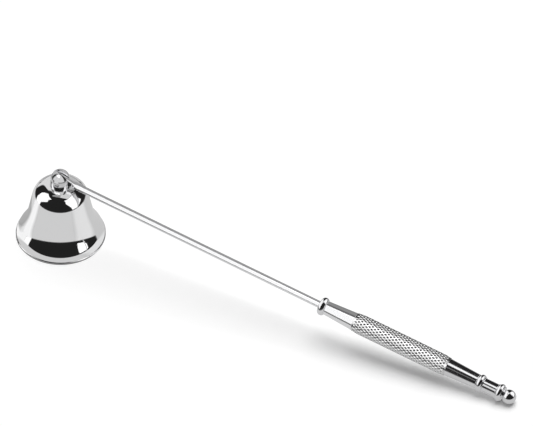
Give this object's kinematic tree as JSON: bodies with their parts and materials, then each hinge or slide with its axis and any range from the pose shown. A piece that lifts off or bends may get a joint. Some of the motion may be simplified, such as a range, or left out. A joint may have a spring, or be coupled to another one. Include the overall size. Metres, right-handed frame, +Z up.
{
  "type": "candle snuffer",
  "caption": "Polished candle snuffer: a bell hinged on a slotted post at the end of a thin rod, with a knurled handle and a ball finial.",
  "frame": {"origin": "middle of the footprint on the table, as the snuffer stands on the bell's rim and the handle's ball", "axes": "+Z up from the table, +X from the bell towards the ball at the handle's end, +Y across"},
  "size_m": [0.2344, 0.038, 0.0363],
  "materials": {
    "polished_chrome": "mirror polished plating over brass",
    "knurled_chrome": "bright plating over a diamond knurl",
    "inner_steel": "plain zinc-plated steel"
  },
  "bodies": {
    "handle": {"snuffer_rod": "polished_chrome", "front_collar": "polished_chrome", "grip_neck": "polished_chrome", "knurled_grip": "knurled_chrome", "tail_cone": "polished_chrome", "front_tail_ring": "polished_chrome", "tail_spacer": "polished_chrome", "rear_tail_ring": "polished_chrome", "ball_finial": "polished_chrome"},
    "bell_head": {"bell": "polished_chrome", "pivot_post": "polished_chrome", "crown_washer": "inner_steel", "crown_nut": "inner_steel", "pivot_rivet": "polished_chrome"}
  },
  "joints": [
    {"name": "bell_swing", "type": "hinge", "parent": "handle", "child": "bell_head", "pos_m": [-0.0982, 0, 0.0322], "axis": [0, 1, 0], "range_deg": [-10, 205]}
  ]
}
